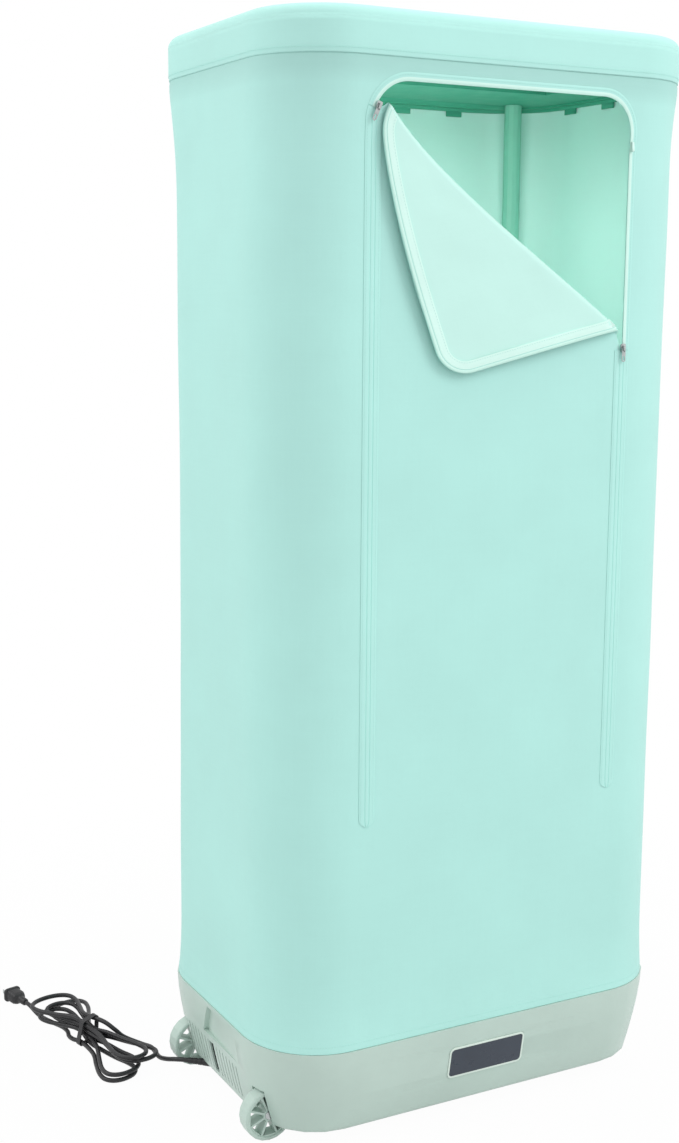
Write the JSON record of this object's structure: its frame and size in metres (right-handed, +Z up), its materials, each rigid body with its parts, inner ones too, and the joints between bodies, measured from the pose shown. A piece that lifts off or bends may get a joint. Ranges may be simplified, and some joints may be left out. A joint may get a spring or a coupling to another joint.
{
  "type": "portable clothes dryer",
  "caption": "Tall wardrobe-shaped clothes dryer: a wheeled plastic base with heater and fan, tube posts, a lid and a zipped fabric cover with one door corner folded down.",
  "frame": {"origin": "on the floor, under the middle of the base", "axes": "+X to the right along the front, +Y to the back, +Z up; the front with the door and the control panel faces -Y, the wheels are at the -X end"},
  "size_m": [0.8419, 0.7202, 1.521],
  "materials": {
    "shell_plastic": "satin moulded",
    "cover_fabric": "plain woven, matt",
    "zip_tape": "woven tape",
    "post_plastic": "matt",
    "ceiling_plastic": "matt",
    "dark_plastic": "matt",
    "bezel_plastic": "satin",
    "display_glass": "glossy dark panel",
    "circuit_board": "lacquered",
    "heater_ceramic": "plain",
    "steel": "plain",
    "foot_rubber": "matt",
    "cord_rubber": "smooth, matt"
  },
  "bodies": {
    "dryer": {"base_tub": "shell_plastic", "base_deck": "shell_plastic", "outlet_grille": "shell_plastic", "axle_front": "steel", "axle_rear": "steel", "foot_front": "foot_rubber", "foot_rear": "foot_rubber", "heater_frame": "dark_plastic", "ptc_heater": "heater_ceramic", "fan_housing": "dark_plastic", "fan_motor": "steel", "display_bezel": "bezel_plastic", "display_glass": "display_glass", "control_board": "circuit_board", "power_board": "circuit_board", "intake_filter": "dark_plastic", "cord_gland": "cord_rubber", "cord_lead": "cord_rubber", "cord_hank": "cord_rubber", "cord_tail": "cord_rubber", "cord_tie": "dark_plastic", "plug_body": "dark_plastic", "plug_blade_left": "steel", "plug_blade_right": "steel", "post_front_left_1": "post_plastic", "post_front_left_2": "post_plastic", "post_front_left_3": "post_plastic", "post_front_right_1": "post_plastic", "post_front_right_2": "post_plastic", "post_front_right_3": "post_plastic", "post_rear_left_1": "post_plastic", "post_rear_left_2": "post_plastic", "post_rear_left_3": "post_plastic", "post_rear_right_1": "post_plastic", "post_rear_right_2": "post_plastic", "post_rear_right_3": "post_plastic", "lid_shell": "ceiling_plastic", "ceiling_panel": "ceiling_plastic", "hanging_rail": "steel", "cover_front": "cover_fabric", "cover_left": "cover_fabric", "cover_right": "cover_fabric", "cover_back": "cover_fabric", "cover_top": "cover_fabric", "cover_hem": "cover_fabric", "door_flap": "cover_fabric", "zip_left": "zip_tape", "zip_right": "zip_tape", "zip_frame_tape": "zip_tape", "zip_door_tape": "zip_tape", "loop_tab": "cover_fabric"},
    "front_wheel": {"wheel_front": "shell_plastic"},
    "rear_wheel": {"wheel_rear": "shell_plastic"},
    "fan": {"fan_impeller": "dark_plastic"},
    "left_slider": {"zip_slider_left": "steel"},
    "left_pull": {"zip_pull_left": "steel"},
    "right_slider": {"zip_slider_right": "steel"},
    "right_pull": {"zip_pull_right": "steel"}
  },
  "joints": [
    {"name": "front_wheel_spin", "type": "hinge", "parent": "dryer", "child": "front_wheel", "pos_m": [-0.308, -0.128, 0.037], "axis": [0, 1, 0], "continuous": true},
    {"name": "rear_wheel_spin", "type": "hinge", "parent": "dryer", "child": "rear_wheel", "pos_m": [-0.308, 0.128, 0.037], "axis": [0, 1, 0], "continuous": true},
    {"name": "fan_spin", "type": "hinge", "parent": "dryer", "child": "fan", "pos_m": [0, 0, 0.0698], "axis": [0, 0, 1], "continuous": true},
    {"name": "right_slider_run", "type": "slide", "parent": "dryer", "child": "right_slider", "axis": [0, 0, 1], "range_m": [-0.62, 0.235]},
    {"name": "right_pull_swing", "type": "hinge", "parent": "right_slider", "child": "right_pull", "pos_m": [0.2, -0.2194, 1.098], "axis": [-1, 0, 0], "range_deg": [0, 170]},
    {"name": "left_slider_run", "type": "hinge", "parent": "dryer", "child": "left_slider", "pos_m": [-0.152, -0.21593, 1.384], "axis": [0, -0.9904, -0.1382], "range_deg": [-40, 20]},
    {"name": "left_pull_swing", "type": "hinge", "parent": "left_slider", "child": "left_pull", "pos_m": [-0.19681, -0.22365, 1.40029], "axis": [-0.9336, -0.0495, 0.3549], "range_deg": [0, 170]}
  ]
}
